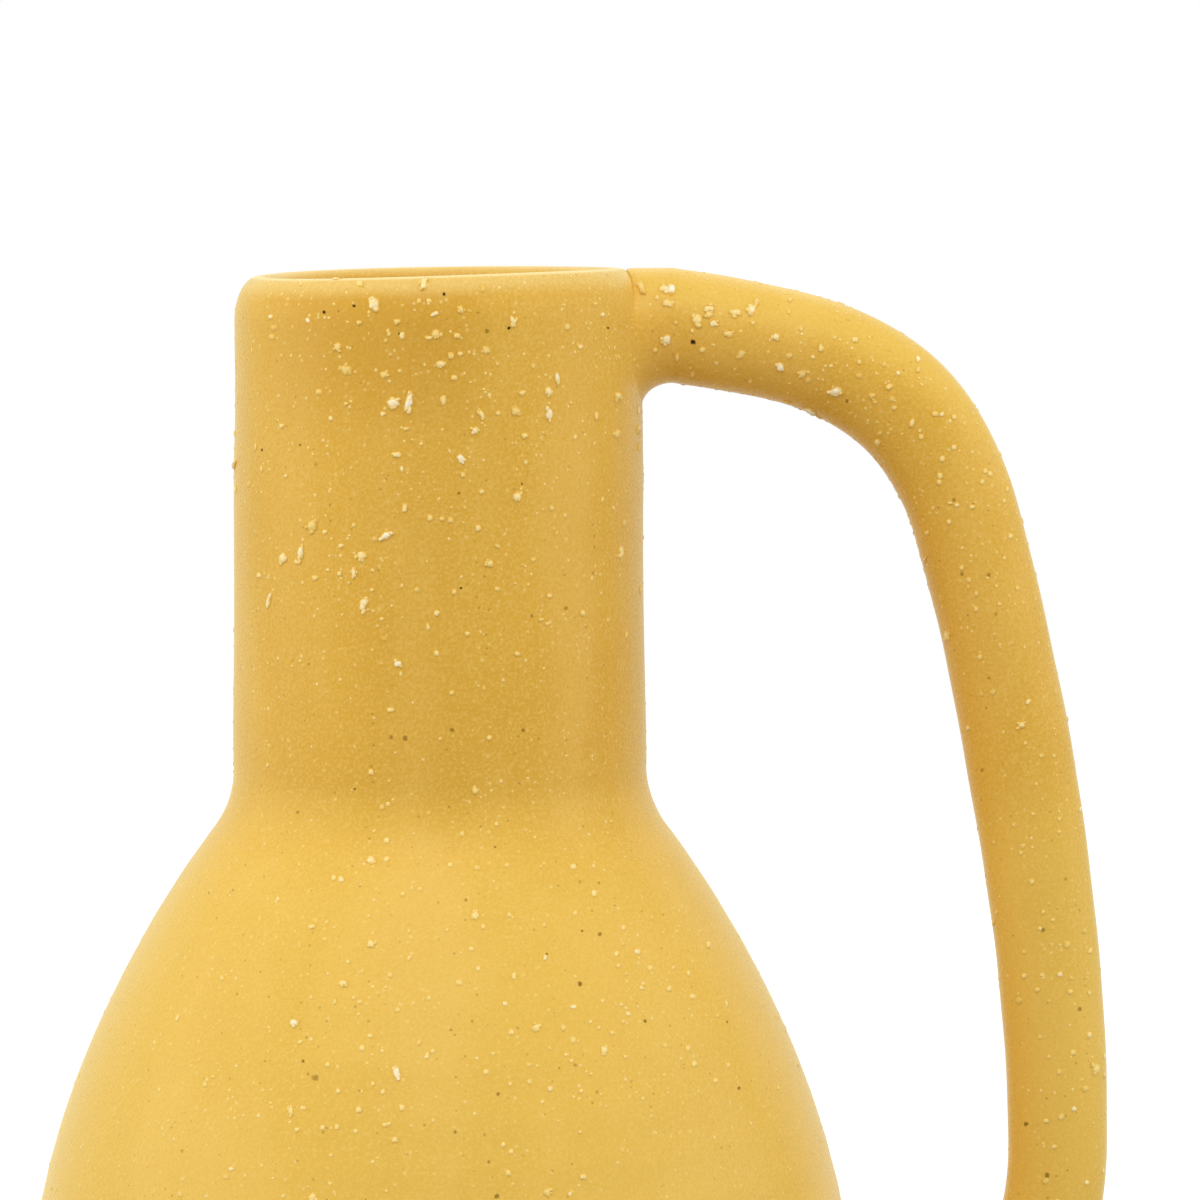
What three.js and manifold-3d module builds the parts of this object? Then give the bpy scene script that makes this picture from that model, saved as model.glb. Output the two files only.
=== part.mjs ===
// A handled stoneware vase, in millimetres with +Z up.
// The origin is in the middle of the underside, and the handle stands out towards +X.
// The vase is built as a potter builds it: a slab base, a belly, a neck and a coil handle, luted with slip.

import * as THREE from 'three';
import { mergeVertices } from 'three/addons/utils/BufferGeometryUtils.js';
import Module from 'manifold-3d';

const wasm = await Module();
wasm.setup();

// Vessel

const rimHeight = 260;
const wall = 7.5;
const slipThickness = 1.2;

// Base slab

const baseRadius = 48;
const baseThickness = 8;
const baseEdgeRounding = 2.5;

// Belly: leans are measured from upright, and a pull is how far a curve keeps its end direction

const bellyRadius = 74.5;
const bellyHeight = 73;
const footLean = THREE.MathUtils.degToRad(40);
const footPull = 22;
const bellyLowerPull = 30;
const bellyUpperPull = 31.3;
const shoulderHeight = 171.7;
const shoulderFillet = 20;
const shoulderLean = THREE.MathUtils.degToRad(36.4);
const shoulderPull = 24.7;

// Neck and lip

const neckRadius = 36.6;
const neckFootRadius = 37.2;
const neckFlareHeight = 40;
const lipTaperWidth = 4.3;
const lipTaperHeight = 8.5;
const lipInnerRounding = 1.8;

// Handle: the reach is from the vase's axis to the centre of the coil

const handleReach = 111.7;
const handleTopRadius = 10.3;
const handleSlimRadius = 9;
const handleFootRadius = 9.8;
const handleSlimPlace = 0.78;
const upperRootDrop = 9.5;
const upperRootLean = THREE.MathUtils.degToRad(9);
const upperRootPull = 22.7;
const elbowInset = 17.5;
const elbowDrop = 44;
const elbowLean = THREE.MathUtils.degToRad(16.5);
const elbowUpperPull = 30.5;
const elbowLowerPull = 34.5;
const heelUpperPull = 31.8;
const heelRise = 43.5;
const heelLowerPull = 22.3;
const lowerRootHeight = 59;
const lowerRootPull = 20;

// Wads of clay round the ends of the handle: a hang is how far one sags, as a share of its flare

const wadDepth = 5;
const wadFlare = 1.9;
const upperWadHang = 1.65;
const lowerWadHang = 0;
const wadClearance = 0.3;
const wadOverrun = 4;

// Fineness of the faceted solids

const turnSegments = 60;
const coilSides = 24;
const coilRings = 44;
const wadRings = 5;
const roundingSteps = 4;
const straightSteps = 1;
const flareSteps = 4;
const bellySteps = 9;

const at = (radius, height) => new THREE.Vector2(radius, height);

// The points of several curves that run on from each other, given as pairs of a curve and its steps.
function outlineOf(...stretches) {
  return stretches.flatMap(([curve, steps], index) => curve.getPoints(steps).slice(index ? 1 : 0));
}

// A stretch of an ellipse from one angle to another, anticlockwise unless the end is the smaller one.
function arc(centre, width, height, from, to) {
  return new THREE.EllipseCurve(centre.x, centre.y, width, height, from, to, to < from);
}

function radiusAt(outline, height) {
  const above = outline.findIndex((point) => point.y >= height);
  const low = outline[above - 1];
  const high = outline[above];
  return THREE.MathUtils.mapLinear(height, low.y, high.y, low.x, high.x);
}

// Vessel outlines. Each runs upwards, set in from the outer face by an inset.

const bellyFoot = baseThickness + slipThickness;
const neckFoot = shoulderHeight + slipThickness;

function bellyOutline(inset) {
  const foot = at(baseRadius - inset / Math.cos(footLean), bellyFoot);
  const filletCentre = at(neckFootRadius + shoulderFillet, shoulderHeight);
  const filletRadius = shoulderFillet + inset;
  const fillet = arc(filletCentre, filletRadius, filletRadius, Math.PI + shoulderLean, Math.PI);
  const shoulder = fillet.getPoint(0);
  const widest = bellyRadius - inset;
  const lower = new THREE.CubicBezierCurve(
    foot,
    at(foot.x + footPull * Math.sin(footLean), foot.y + footPull * Math.cos(footLean)),
    at(widest, bellyHeight - bellyLowerPull),
    at(widest, bellyHeight),
  );
  const upper = new THREE.CubicBezierCurve(
    at(widest, bellyHeight),
    at(widest, bellyHeight + bellyUpperPull),
    at(
      shoulder.x + shoulderPull * Math.sin(shoulderLean),
      shoulder.y - shoulderPull * Math.cos(shoulderLean),
    ),
    shoulder,
  );
  return outlineOf([lower, bellySteps], [upper, bellySteps], [fillet, roundingSteps]);
}

function neckOutline(inset, lipHeight) {
  const straight = neckRadius - inset;
  const flare = new THREE.QuadraticBezierCurve(
    at(neckFootRadius - inset, neckFoot),
    at(straight, neckFoot + neckFlareHeight / 2),
    at(straight, neckFoot + neckFlareHeight),
  );
  const side = new THREE.LineCurve(flare.v2, at(straight, rimHeight - lipHeight));
  return outlineOf([flare, flareSteps], [side, straightSteps]);
}

// The outside tapers in towards the crown of the lip over more height than width.
function outerLip(clearance) {
  const centre = at(neckRadius - lipTaperWidth, rimHeight - lipTaperHeight);
  const width = lipTaperWidth + clearance;
  const height = lipTaperHeight + clearance;
  return arc(centre, width, height, 0, Math.PI / 2).getPoints(roundingSteps);
}

function innerLip() {
  const centre = at(neckRadius - wall + lipInnerRounding, rimHeight - lipInnerRounding);
  return arc(centre, lipInnerRounding, lipInnerRounding, Math.PI / 2, Math.PI).getPoints(roundingSteps);
}

// Solids

// Turns a closed outline round the axis. The outline goes up its outer face and down its inner one.
function turned(outline) {
  const geometry = new THREE.LatheGeometry([...outline, outline[0]], turnSegments);
  return geometry.rotateX(Math.PI / 2);
}

// Joins rings of points into a closed skin, with a centre point to close each end.
function ringed(rings, firstCentre, lastCentre) {
  const sides = rings[0].length;
  const points = [...rings.flat(), firstCentre, lastCentre];
  const first = points.length - 2;
  const last = points.length - 1;
  const faces = [];
  for (let side = 0; side < sides; side += 1) {
    const next = (side + 1) % sides;
    faces.push(first, next, side);
    for (let ring = 0; ring < rings.length - 1; ring += 1) {
      const here = ring * sides;
      const there = here + sides;
      faces.push(here + side, here + next, there + side);
      faces.push(here + next, there + next, there + side);
    }
    const end = (rings.length - 1) * sides;
    faces.push(last, end + side, end + next);
  }
  const geometry = new THREE.BufferGeometry().setFromPoints(points);
  geometry.setIndex(faces);
  return geometry;
}

function manifoldOf(geometry) {
  const bare = new THREE.BufferGeometry();
  bare.setAttribute('position', geometry.getAttribute('position').clone());
  bare.setIndex(geometry.getIndex());
  const merged = mergeVertices(bare);
  return new wasm.Manifold(new wasm.Mesh({
    numProp: 3,
    vertProperties: new Float32Array(merged.getAttribute('position').array),
    triVerts: new Uint32Array(merged.getIndex().array),
  }));
}

function cutClear(geometry, obstacle) {
  const mesh = manifoldOf(geometry).subtract(manifoldOf(obstacle)).getMesh();
  const result = new THREE.BufferGeometry();
  result.setAttribute('position', new THREE.BufferAttribute(mesh.vertProperties, 3));
  result.setIndex(new THREE.BufferAttribute(mesh.triVerts, 1));
  return result;
}

function baseSlab() {
  const centre = at(baseRadius - baseEdgeRounding, baseEdgeRounding);
  const edge = arc(centre, baseEdgeRounding, baseEdgeRounding, -Math.PI / 2, 0);
  return turned([
    at(0, 0),
    ...edge.getPoints(roundingSteps),
    at(baseRadius, baseThickness),
    at(0, baseThickness),
  ]);
}

function slipRing(outerRadius, innerRadius, foot) {
  return turned([
    at(innerRadius, foot),
    at(outerRadius, foot),
    at(outerRadius, foot + slipThickness),
    at(innerRadius, foot + slipThickness),
  ]);
}

function belly() {
  return turned([...bellyOutline(0), ...bellyOutline(wall).reverse()]);
}

function neck() {
  const outside = [...neckOutline(0, lipTaperHeight).slice(0, -1), ...outerLip(0)];
  const inside = [...innerLip(), ...neckOutline(wall, lipInnerRounding).reverse().slice(1)];
  return turned([...outside, ...inside]);
}

// What the wads are cut clear of: the vessel's outer shape, grown by their clearance and filled in.

function grownBelly() {
  const outline = bellyOutline(-wadClearance);
  return turned([at(0, bellyFoot), ...outline, at(0, shoulderHeight)]);
}

function grownNeck() {
  const outside = [...neckOutline(-wadClearance, lipTaperHeight).slice(0, -1), ...outerLip(wadClearance)];
  return turned([at(0, neckFoot), ...outside, at(0, rimHeight + wadClearance)]);
}

// Handle. Its centre runs in the XZ plane, from the upper wad to the lower one.

const upperRoot = new THREE.Vector3(neckRadius + wadDepth, 0, rimHeight - upperRootDrop);
const lowerRoot = new THREE.Vector3(
  radiusAt(bellyOutline(0), lowerRootHeight) + wadDepth,
  0,
  lowerRootHeight,
);

const away = new THREE.Vector3(1, 0, 0);
const inward = new THREE.Vector3(-1, 0, 0);

function handleCentre() {
  const down = new THREE.Vector3(0, 0, -1);
  const setOff = new THREE.Vector3(Math.cos(upperRootLean), 0, -Math.sin(upperRootLean));
  const drop = new THREE.Vector3(Math.sin(elbowLean), 0, -Math.cos(elbowLean));
  const elbow = new THREE.Vector3(handleReach - elbowInset, 0, rimHeight - elbowDrop);
  const heel = new THREE.Vector3(handleReach, 0, lowerRootHeight + heelRise);
  const moved = (point, direction, distance) => point.clone().addScaledVector(direction, distance);
  const route = new THREE.CurvePath();
  route.add(new THREE.CubicBezierCurve3(
    upperRoot,
    moved(upperRoot, setOff, upperRootPull),
    moved(elbow, drop, -elbowUpperPull),
    elbow,
  ));
  route.add(new THREE.CubicBezierCurve3(
    elbow,
    moved(elbow, drop, elbowLowerPull),
    moved(heel, down, -heelUpperPull),
    heel,
  ));
  route.add(new THREE.CubicBezierCurve3(
    heel,
    moved(heel, down, heelLowerPull),
    moved(lowerRoot, away, lowerRootPull),
    lowerRoot,
  ));
  return route;
}

// The coil is thickest at its upper root, slims down the drop and swells again towards the lower wad.
function coilRadius(place) {
  if (place < handleSlimPlace) {
    const share = THREE.MathUtils.smoothstep(place, 0, handleSlimPlace);
    return THREE.MathUtils.lerp(handleTopRadius, handleSlimRadius, share);
  }
  const share = THREE.MathUtils.smoothstep(place, handleSlimPlace, 1);
  return THREE.MathUtils.lerp(handleSlimRadius, handleFootRadius, share);
}

// A ring of points round a centre, square to a direction in the XZ plane.
function ringAcross(centre, direction, radius) {
  const across = new THREE.Vector3(direction.z, 0, -direction.x);
  const ring = [];
  for (let side = 0; side < coilSides; side += 1) {
    const angle = (side / coilSides) * 2 * Math.PI;
    const point = centre.clone();
    point.addScaledVector(across, radius * Math.cos(angle));
    point.y += radius * Math.sin(angle);
    ring.push(point);
  }
  return ring;
}

function handle() {
  const route = handleCentre();
  const rings = [ringAcross(upperRoot, away, coilRadius(0))];
  for (let step = 1; step < coilRings; step += 1) {
    const place = step / coilRings;
    rings.push(ringAcross(route.getPointAt(place), route.getTangentAt(place), coilRadius(place)));
  }
  rings.push(ringAcross(lowerRoot, inward, coilRadius(1)));
  return ringed(rings, upperRoot, lowerRoot);
}

// A wad flares from the coil's end face to the wall. With no hang it spreads evenly all round,
// and with a hang of 1 its top stays level with the coil's.
function wad(root, radius, wallRadius, hang) {
  const rings = [];
  for (let step = 0; step <= wadRings; step += 1) {
    const turn = (step / wadRings) * (Math.PI / 2);
    const growth = wadFlare * (1 - Math.cos(turn));
    const centre = root.clone();
    centre.z -= hang * growth;
    const ring = ringAcross(centre, inward, radius + growth);
    for (const point of ring) {
      const face = Math.sqrt(wallRadius(point.z) ** 2 - point.y ** 2);
      point.x = THREE.MathUtils.lerp(root.x, face, Math.sin(turn));
    }
    rings.push(ring);
  }
  const buried = rings.at(-1).map((point) => point.clone().addScaledVector(inward, wadOverrun));
  const buriedCentre = root.clone().addScaledVector(inward, wadDepth + wadOverrun);
  return ringed([...rings, buried], root, buriedCentre);
}

function upperWad() {
  const shape = wad(upperRoot, coilRadius(0), () => neckRadius, upperWadHang);
  return cutClear(shape, grownNeck());
}

function lowerWad() {
  const outline = bellyOutline(0);
  const shape = wad(lowerRoot, coilRadius(1), (height) => radiusAt(outline, height), lowerWadHang);
  return cutClear(shape, grownBelly());
}

// Finishes

const mustardGlaze = { color: 0xdeb356, roughness: 0.45, metalness: 0 };
const bareClay = { color: 0xc9b089, roughness: 0.9, metalness: 0 };

const vase = new THREE.Group();

function addPiece(name, geometry, finish) {
  const piece = new THREE.Mesh(geometry, new THREE.MeshStandardMaterial(finish));
  piece.name = name;
  vase.add(piece);
}

addPiece('base_slab', baseSlab(), bareClay);
addPiece('base_slip', slipRing(baseRadius, baseRadius - wall / Math.cos(footLean), baseThickness), bareClay);
addPiece('belly', belly(), mustardGlaze);
addPiece('shoulder_slip', slipRing(neckFootRadius, neckFootRadius - wall, shoulderHeight), bareClay);
addPiece('neck', neck(), mustardGlaze);
addPiece('upper_handle_wad', upperWad(), mustardGlaze);
addPiece('handle', handle(), mustardGlaze);
addPiece('lower_handle_wad', lowerWad(), mustardGlaze);

export default vase;
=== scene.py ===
import math

import bpy
import numpy as np
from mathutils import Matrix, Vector
from mathutils.bvhtree import BVHTree


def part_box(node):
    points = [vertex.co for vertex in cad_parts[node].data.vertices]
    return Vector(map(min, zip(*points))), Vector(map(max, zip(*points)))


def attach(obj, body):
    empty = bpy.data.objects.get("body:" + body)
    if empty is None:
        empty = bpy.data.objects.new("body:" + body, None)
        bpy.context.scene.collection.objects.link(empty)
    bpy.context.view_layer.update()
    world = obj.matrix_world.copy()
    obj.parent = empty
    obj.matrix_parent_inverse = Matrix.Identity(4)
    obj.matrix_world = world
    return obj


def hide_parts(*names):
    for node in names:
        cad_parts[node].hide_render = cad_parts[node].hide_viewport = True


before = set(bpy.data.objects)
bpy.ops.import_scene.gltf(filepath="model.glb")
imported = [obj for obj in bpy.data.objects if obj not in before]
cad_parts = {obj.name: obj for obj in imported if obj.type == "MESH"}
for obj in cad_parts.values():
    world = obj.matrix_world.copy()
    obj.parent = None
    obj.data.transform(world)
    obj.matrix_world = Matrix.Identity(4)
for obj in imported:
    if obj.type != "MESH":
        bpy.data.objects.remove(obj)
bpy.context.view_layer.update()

# Sizes in millimetres. The frame gives the heights and radii at which the clay pieces meet.

MM = 0.001


def low_corner(node):
    return [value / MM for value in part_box(node)[0]]


def high_corner(node):
    return [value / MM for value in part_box(node)[1]]


belly_foot = low_corner("belly")[2]
shoulder_height = high_corner("belly")[2]
neck_foot = low_corner("neck")[2]
rim_height = high_corner("neck")[2]
belly_radius = high_corner("belly")[0]
neck_foot_radius = high_corner("neck")[0]
base_radius = high_corner("base_slab")[0]
base_thickness = high_corner("base_slab")[2]
upper_root_x = low_corner("handle")[0]
lower_root_x = high_corner("lower_handle_wad")[0]
handle_top = high_corner("handle")[2]

wall = 7.5
neck_radius = 36.6
neck_flare_height = 40
lip_taper_width = 4.3
lip_taper_height = 8.5
lip_inner_rounding = 2.5
base_edge_rounding = 2.5
belly_height = 73
foot_lean = math.radians(40)
foot_pull = 22
belly_lower_pull = 30
belly_upper_pull = 31.3
shoulder_fillet = 20
shoulder_lean = math.radians(36.4)
shoulder_pull = 24.7

handle_top_radius = 10.3
handle_slim_radius = 9.0
handle_foot_radius = 9.8
handle_slim_place = 0.78
handle_reach = 111.7
elbow_inset = 17.5
elbow_drop = 44
elbow_lean = math.radians(16.5)
upper_root_lean = math.radians(9)
upper_root_pull = 22.7
elbow_upper_pull = 30.5
elbow_lower_pull = 34.5
heel_upper_pull = 31.8
heel_rise = 43.5
heel_lower_pull = 28
lower_root_height = 59
lower_root_pull = 20

# Steps round and along each form. The inside, which hardly shows, takes a share of them.

turn_segments = 192
belly_lower_steps = 76
belly_upper_steps = 100
fillet_steps = 26
neck_flare_steps = 40
neck_side_steps = 44
lip_outer_steps = 24
lip_inner_steps = 8
crown_steps = 3
belly_inside_share = 0.3
neck_inside_share = 0.4
slip_steps = 3
base_under_steps = 12
base_edge_steps = 10
base_side_steps = 5
base_floor_steps = 10
coil_sides = 64
coil_rings = 300
wad_steps = 16

# The route's steps only carry the coil's rings, so they are finer than those.
route_steps = (400, 700, 300)


# The camera stands in front of the vase, a little to the handle's side, and looks slightly down.

camera_distance = 1100
camera_height = 306
camera_side = 28.6
camera_pitch = math.radians(5.45)
sensor_width = 36
lens_length = 184.17


def place_camera():
    data = bpy.data.cameras.new("camera")
    data.sensor_width = sensor_width
    data.lens = lens_length
    camera = bpy.data.objects.new("camera", data)
    camera.location = (camera_side * MM, -camera_distance * MM, camera_height * MM)
    camera.rotation_euler = (math.pi / 2 - camera_pitch, 0, 0)
    bpy.context.scene.collection.objects.link(camera)
    bpy.context.scene.camera = camera


place_camera()


# Curves. Every outline is an array of points (radius, height).

def bezier(start, start_pull, end_pull, end, steps):
    place = np.linspace(0, 1, steps + 1)[:, None]
    back = 1 - place
    points = [np.asarray(point, float) for point in (start, start_pull, end_pull, end)]
    return (back ** 3 * points[0] + 3 * back ** 2 * place * points[1]
            + 3 * back * place ** 2 * points[2] + place ** 3 * points[3])


def arc(centre, radius, start, end, steps, height=None):
    """Part of a circle, or of an ellipse that has another height."""
    turn = np.linspace(start, end, steps + 1)
    return np.column_stack([centre[0] + radius * np.cos(turn),
                            centre[1] + (height or radius) * np.sin(turn)])


def line(start, end, steps):
    return np.linspace(start, end, steps + 1)


def joined(*stretches):
    """Stretches that run on from each other, without their doubled points."""
    return np.vstack([stretches[0]] + [stretch[1:] for stretch in stretches[1:]])


def length_along(points):
    """How far along a line of points each of them is."""
    return np.concatenate([[0], np.cumsum(np.hypot(*np.diff(points, axis=0).T))])


# Outlines of the vessel, set in from the outer face by an inset. A coarse one serves the inside.

def belly_outline(inset, fineness):
    foot = (base_radius - inset / math.cos(foot_lean), belly_foot)
    fillet = arc(
        (neck_foot_radius + shoulder_fillet, shoulder_height),
        shoulder_fillet + inset,
        math.pi + shoulder_lean,
        math.pi,
        int(fillet_steps * fineness),
    )
    shoulder = fillet[0]
    widest = belly_radius - inset
    lower = bezier(
        foot,
        (foot[0] + foot_pull * math.sin(foot_lean), foot[1] + foot_pull * math.cos(foot_lean)),
        (widest, belly_height - belly_lower_pull),
        (widest, belly_height),
        int(belly_lower_steps * fineness),
    )
    upper = bezier(
        (widest, belly_height),
        (widest, belly_height + belly_upper_pull),
        (shoulder[0] + shoulder_pull * math.sin(shoulder_lean),
         shoulder[1] - shoulder_pull * math.cos(shoulder_lean)),
        shoulder,
        int(belly_upper_steps * fineness),
    )
    return joined(lower, upper, fillet)


def neck_outline(inset, rounding, fineness):
    straight = neck_radius - inset
    middle = (straight, neck_foot + neck_flare_height / 2)
    flare_end = (straight, neck_foot + neck_flare_height)
    foot = (neck_foot_radius - inset, neck_foot)

    def toward_middle(point):
        return tuple(point[i] + (middle[i] - point[i]) * 2 / 3 for i in (0, 1))

    flare = bezier(foot, toward_middle(foot), toward_middle(flare_end), flare_end,
                   int(neck_flare_steps * fineness))
    side = line(flare_end, (straight, rim_height - rounding), int(neck_side_steps * fineness))
    return joined(flare, side)


def outer_lip():
    """The outside tapers in towards the crown over more height than width."""
    centre = (neck_radius - lip_taper_width, rim_height - lip_taper_height)
    return arc(centre, lip_taper_width, 0, math.pi / 2, lip_outer_steps, lip_taper_height)


def lip_outline():
    """From the top of the neck's outside, over the lip, to the top of its inside."""
    outer = outer_lip()
    inner = arc((neck_radius - wall + lip_inner_rounding, rim_height - lip_inner_rounding),
                lip_inner_rounding, math.pi / 2, math.pi, lip_inner_steps)
    return joined(outer, line(outer[-1], inner[0], crown_steps), inner)


# The marks of the potter's hands, as moves of a few tenths of a millimetre.

neck_sway = 0.4
sway_heights = (150, 185)
foot_fade = (2, 14)
least_radius = 20

# Slow swells: how high each is, how often it goes round, how it leans with height, and where it starts.
wall_swells = ((0.13, 2, 0.021, 0.6), (0.09, 3, -0.034, 2.1), (0.06, 5, 0.055, 0), (0.05, 1, 0.11, 0))

# The neck and the belly's left half are a little full, between the heights where that starts and ends.
neck_fullness = 0.3
neck_full_from = (166, 182)
neck_full_to = (222, 238)
belly_fullness = 0.35
belly_full_from = (95, 125)
belly_full_to = (145, 165)

# The spiral of the throwing wanders, is patchy, and is weaker up the neck.
ring_height = 0.05
ring_pitch = 8.5
ring_wander = 1.3
ring_wander_rate = 0.07
ring_patchiness = 0.45
ring_patch_rate = 0.09
rings_from = (18, 40)
rings_fade = (135, 170)
ring_fading = 0.75

# How the rim waves: its mean rise, its rise towards the handle and the front, and two bends.
rim_rise = 0.11
rim_tilt = 0.73
rim_nod = 0.49
rim_saddle = -0.09
rim_twist = -0.3
rim_fade = 26


def smooth_step(low, high, value):
    share = np.clip((value - low) / (high - low), 0, 1)
    return share * share * (3 - 2 * share)


def swells(kinds, turn, along):
    """The sum of slow waves that go round a form and lean as they go along it."""
    return sum(size * np.sin(rounds * turn + lean * along + start) for size, rounds, lean, start in kinds)


def hand_swell(height, angle):
    """How far the wall stands out of its drawn radius: slow swells, and the spiral of the throwing."""
    wander = ring_wander * np.sin(ring_wander_rate * height)
    spiral = np.sin(2 * math.pi * height / ring_pitch - angle + wander)
    patchy = 1 - ring_patchiness + ring_patchiness * np.sin(2 * angle + ring_patch_rate * height)
    on_belly = smooth_step(*rings_from, height) * (1 - ring_fading * smooth_step(*rings_fade, height))
    full_neck = smooth_step(*neck_full_from, height) * (1 - smooth_step(*neck_full_to, height))
    full_belly = smooth_step(*belly_full_from, height) * (1 - smooth_step(*belly_full_to, height))
    fullness = neck_fullness * full_neck + belly_fullness * full_belly * (0.5 - 0.5 * np.cos(angle))
    return swells(wall_swells, angle, height) + fullness + ring_height * spiral * patchy * on_belly


def hand_shaped(points):
    """Moves points of the vessel, given in millimetres, to where the potter's hands left them."""
    radius = np.hypot(points[:, 0], points[:, 1])
    angle = np.arctan2(points[:, 1], points[:, 0])
    height = points[:, 2]
    off_foot = smooth_step(*foot_fade, height)
    share = 1 + hand_swell(height, angle) * off_foot / np.maximum(radius, least_radius)
    moved = points.copy()
    moved[:, 0] = points[:, 0] * share - neck_sway * smooth_step(*sway_heights, height)
    moved[:, 1] = points[:, 1] * share
    lift = (rim_rise + rim_tilt * np.cos(angle) - rim_nod * np.sin(angle)
            + rim_saddle * np.cos(2 * angle) + rim_twist * np.sin(angle) * np.cos(angle))
    moved[:, 2] = height + lift * smooth_step(rim_height - rim_fade, rim_height, height)
    return moved


# Mesh helpers. A new ring's size and spacing, in metres, only last until its points are placed.

blank_radius = 0.01
blank_step = 0.01
merge_distance = 0.00001
sharpest_edge = math.radians(50)
sharpest_on_grain = math.radians(80)


def deselect_all():
    bpy.ops.object.select_all(action="DESELECT")


def pick(piece):
    deselect_all()
    bpy.context.view_layer.objects.active = piece
    piece.select_set(True)


def points_of(piece):
    flat = np.empty(len(piece.data.vertices) * 3)
    piece.data.vertices.foreach_get("co", flat)
    return flat.reshape(-1, 3) / MM


def set_points(piece, points):
    piece.data.vertices.foreach_set("co", (points * MM).ravel())
    piece.data.update()


def edit(piece):
    pick(piece)
    bpy.ops.object.mode_set(mode="EDIT")
    bpy.ops.mesh.select_all(action="SELECT")


def done_editing():
    bpy.ops.object.mode_set(mode="OBJECT")


def smooth(piece, sharpest):
    pick(piece)
    bpy.ops.object.shade_smooth_by_angle(angle=sharpest)


def new_ring(name, sides, fill="NOTHING", radius=blank_radius):
    deselect_all()
    bpy.ops.mesh.primitive_circle_add(vertices=sides, radius=radius, fill_type=fill, location=(0, 0, 0))
    piece = bpy.context.active_object
    piece.name = piece.data.name = name
    return piece


def turned(name, outline):
    """A ring of points is pulled into the wall's section and spun round the axis."""
    piece = new_ring(name, len(outline))
    set_points(piece, np.column_stack([outline[:, 0], np.zeros(len(outline)), outline[:, 1]]))
    edit(piece)
    bpy.ops.mesh.spin(steps=turn_segments, angle=2 * math.pi, center=(0, 0, 0), axis=(0, 0, 1),
                      use_auto_merge=True)
    bpy.ops.mesh.select_all(action="SELECT")
    bpy.ops.mesh.remove_doubles(threshold=merge_distance)
    bpy.ops.mesh.normals_make_consistent(inside=False)
    done_editing()
    return piece


def swept(name, rings):
    """A filled circle is extruded once for each further ring, and every ring is then put in its place."""
    count, sides = rings.shape[:2]
    piece = new_ring(name, sides, "NGON")
    edit(piece)
    for _ in range(count - 1):
        bpy.ops.mesh.extrude_region_move(TRANSFORM_OT_translate={"value": (0, 0, blank_step)})
    done_editing()
    made = points_of(piece) * MM
    ring = np.rint(made[:, 2] / blank_step).astype(int)
    side = np.rint(np.arctan2(made[:, 1], made[:, 0]) / (2 * math.pi / sides)).astype(int) % sides
    set_points(piece, rings[ring, side])
    edit(piece)
    bpy.ops.mesh.normals_make_consistent(inside=False)
    done_editing()
    return piece


def store_depth(piece, depth):
    """How far each point lies below the piece's crest, for the glaze to read."""
    piece.data.attributes.new("crest_depth", "FLOAT", "POINT").data.foreach_set("value", depth)


def dressed(piece, node, finishes, choose=lambda centre, normal: 0):
    """Gives a piece its finishes, hides the part of its CAD node, and hangs it on the root body. Each face
    takes the finish whose number choose gives for its centre, in millimetres, and its normal."""
    smooth(piece, sharpest_edge)
    for finish in finishes:
        piece.data.materials.append(finish)
    for face in piece.data.polygons:
        face.material_index = choose(face.center / MM, face.normal)
    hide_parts(node)
    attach(piece, "root")
    return piece


def vessel_piece(name, outline, node, finishes, choose):
    piece = turned(name, outline)
    drawn = points_of(piece)
    store_depth(piece, rim_height - drawn[:, 2])
    set_points(piece, hand_shaped(drawn))
    return dressed(piece, node, finishes, choose)


# Shader maths

class Value:
    """A node's output, on which Python's arithmetic adds Math nodes."""

    def __init__(self, nodes, socket):
        self.nodes = nodes
        self.socket = socket

    def maths(self, operation, *terms):
        return self.nodes.node("ShaderNodeMath", {"operation": operation}, dict(enumerate(terms)))

    def __add__(self, other):
        return self.maths("ADD", self, other)

    __radd__ = __add__

    def __sub__(self, other):
        return self.maths("SUBTRACT", self, other)

    def __rsub__(self, other):
        return self.maths("SUBTRACT", other, self)

    def __mul__(self, other):
        return self.maths("MULTIPLY", self, other)

    __rmul__ = __mul__

    def __lt__(self, other):
        return self.maths("LESS_THAN", self, other)

    def __gt__(self, other):
        return self.maths("GREATER_THAN", self, other)

    def __abs__(self):
        return self.maths("ABSOLUTE", self)


class Nodes:
    """A node tree, and the one method that adds any node to it."""

    def __init__(self, tree):
        self.tree = tree

    def node(self, kind, settings=None, sockets=None, output=0):
        made = self.tree.nodes.new(kind)
        for setting, value in (settings or {}).items():
            setattr(made, setting, value)
        for socket, value in (sockets or {}).items():
            if isinstance(value, Value):
                self.tree.links.new(value.socket, made.inputs[socket])
            else:
                made.inputs[socket].default_value = value
        return Value(self, made.outputs[output])

    def between(self, value, low, high, bottom=0, top=1):
        """A smooth step from bottom to top as the value goes from low to high."""
        return self.node("ShaderNodeMapRange", {"interpolation_type": "SMOOTHSTEP"},
                         {"Value": value, "From Min": low, "From Max": high,
                          "To Min": bottom, "To Max": top})

    def looked_at(self):
        """1 for the camera's own rays and for those that come by a mirror or through glass, else 0."""
        camera, mirror, glass = (self.node("ShaderNodeLightPath", output=f"Is {kind} Ray")
                                 for kind in ("Camera", "Glossy", "Transmission"))
        return camera + mirror + glass


# Light that grazes the glaze comes back a little yellow.
sheen_roughness = 0.45
sheen_tint = (1, 0.85, 0.28, 1)


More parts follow.
